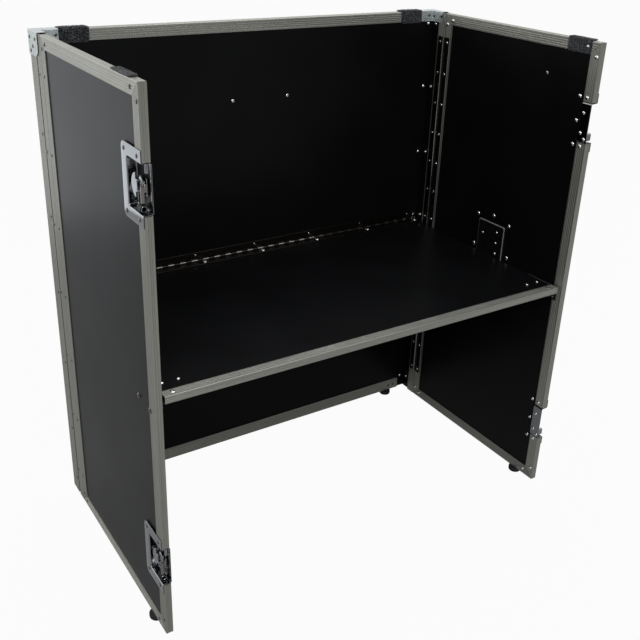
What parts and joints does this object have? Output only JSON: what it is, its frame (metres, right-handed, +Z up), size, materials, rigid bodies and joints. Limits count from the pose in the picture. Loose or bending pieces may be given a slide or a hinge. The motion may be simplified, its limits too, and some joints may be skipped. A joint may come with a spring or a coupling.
{
  "type": "folding dj coffin stand",
  "caption": "Open-front folding stand of laminated boards in aluminium edge rails: shallow back section, two hinged wings with turn latches, fold-up shelf, rubber feet and top pads.",
  "frame": {"origin": "on the floor, under the middle of the stand's bounding box", "axes": "+Z up, -Y towards the open front where the user stands, +X to the user's right when they face the back panel"},
  "size_m": [0.8612, 0.4688, 0.9158],
  "materials": {
    "extrusion": "satin anodised extrusion with fine lengthwise ribs",
    "laminate": "plywood faced with satin black laminate with a fine grain",
    "chrome": "bright plated pressed steel",
    "hinge_steel": "plated steel, satin",
    "black_steel": "black painted steel",
    "rubber": "matt black rubber",
    "felt": "black looped pile"
  },
  "bodies": {
    "back_section": {"back_board": "laminate", "back_top_rail": "extrusion", "back_bottom_rail": "extrusion", "left_tray_side": "laminate", "right_tray_side": "laminate", "left_rear_corner_angle": "extrusion", "right_rear_corner_angle": "extrusion", "left_tray_front_rail": "extrusion", "right_tray_front_rail": "extrusion", "left_top_brace": "chrome", "right_top_brace": "chrome", "left_hinge_fixed_leaf": "hinge_steel", "right_hinge_fixed_leaf": "hinge_steel", "shelf_hinge_fixed_leaf": "hinge_steel", "left_hinge_pin": "hinge_steel", "right_hinge_pin": "hinge_steel", "shelf_hinge_pin": "hinge_steel", "rear_left_foot": "rubber", "rear_right_foot": "rubber", "rear_left_pad": "felt", "rear_right_pad": "felt"},
    "left_wing": {"left_wing_board": "laminate", "left_wing_rear_rail": "extrusion", "left_wing_top_rail": "extrusion", "left_wing_bottom_rail": "extrusion", "left_wing_front_rail_top": "extrusion", "left_wing_front_rail_middle": "extrusion", "left_wing_front_rail_bottom": "extrusion", "left_hinge_moving_leaf": "hinge_steel", "left_shelf_bracket": "black_steel", "front_left_foot": "rubber", "front_left_pad": "felt", "upper_latch_dish": "chrome", "lower_latch_dish": "chrome"},
    "right_wing": {"right_wing_board": "laminate", "right_wing_rear_rail": "extrusion", "right_wing_top_rail": "extrusion", "right_wing_bottom_rail": "extrusion", "right_wing_front_rail_top": "extrusion", "right_wing_front_rail_middle": "extrusion", "right_wing_front_rail_bottom": "extrusion", "right_hinge_moving_leaf": "hinge_steel", "right_shelf_bracket": "black_steel", "front_right_foot": "rubber", "front_right_pad": "felt", "upper_catch_dish": "chrome", "lower_catch_dish": "chrome", "handle_dish": "chrome"},
    "shelf": {"shelf_board": "laminate", "shelf_front_rail": "extrusion", "shelf_hinge_moving_leaf": "hinge_steel", "left_shelf_rest_plate": "hinge_steel", "right_shelf_rest_plate": "hinge_steel"},
    "carrying_bail": {"handle_bail": "black_steel"},
    "upper_rotor": {"upper_latch_rotor": "chrome"},
    "lower_rotor": {"lower_latch_rotor": "chrome"},
    "upper_key": {"upper_latch_butterfly": "chrome"},
    "lower_key": {"lower_latch_butterfly": "chrome"},
    "upper_hook": {"upper_latch_slide": "chrome"},
    "lower_hook": {"lower_latch_slide": "chrome"}
  },
  "joints": [
    {"name": "shelf_fold", "type": "hinge", "parent": "back_section", "child": "shelf", "pos_m": [0, 0.21325, 0.4581], "axis": [-1, 0, 0], "range_deg": [0, 90]},
    {"name": "left_wing_fold", "type": "hinge", "parent": "back_section", "child": "left_wing", "pos_m": [-0.4084, 0.17245, 0.462], "axis": [0, 0, 1], "range_deg": [-1.5, 0.2]},
    {"name": "right_wing_fold", "type": "hinge", "parent": "back_section", "child": "right_wing", "pos_m": [0.4084, 0.17245, 0.462], "axis": [0, 0, -1], "range_deg": [-1.5, 0.2]},
    {"name": "carrying_bail_lift", "type": "hinge", "parent": "right_wing", "child": "carrying_bail", "pos_m": [0.4162, -0.00305, 0.462], "axis": [0, 0, 1], "range_deg": [0, 90], "stiffness_Nm_per_rad": 0.03, "springref_deg": -17.19},
    {"name": "upper_latch_turn", "type": "hinge", "parent": "left_wing", "child": "upper_rotor", "pos_m": [-0.424, -0.20945, 0.7745], "axis": [-1, 0, 0], "range_deg": [0, 180]},
    {"name": "lower_latch_turn", "type": "hinge", "parent": "left_wing", "child": "lower_rotor", "pos_m": [-0.424, -0.20945, 0.1495], "axis": [-1, 0, 0], "range_deg": [0, 180]},
    {"name": "upper_key_flip", "type": "hinge", "parent": "upper_rotor", "child": "upper_key", "pos_m": [-0.4217, -0.20945, 0.7745], "axis": [0, 0, 1], "range_deg": [0, 90]},
    {"name": "lower_key_flip", "type": "hinge", "parent": "lower_rotor", "child": "lower_key", "pos_m": [-0.4217, -0.20945, 0.1495], "axis": [0, 0, 1], "range_deg": [0, 90]},
    {"name": "upper_hook_slide", "type": "slide", "parent": "left_wing", "child": "upper_hook", "axis": [0, -1, 0], "range_m": [0, 0.01]},
    {"name": "lower_hook_slide", "type": "slide", "parent": "left_wing", "child": "lower_hook", "axis": [0, -1, 0], "range_m": [0, 0.01]}
  ],
  "couplings": [
    {"joint": "upper_hook_slide", "follows": "upper_latch_turn", "m_per_rad": 0.00318},
    {"joint": "lower_hook_slide", "follows": "lower_latch_turn", "m_per_rad": 0.00318}
  ]
}
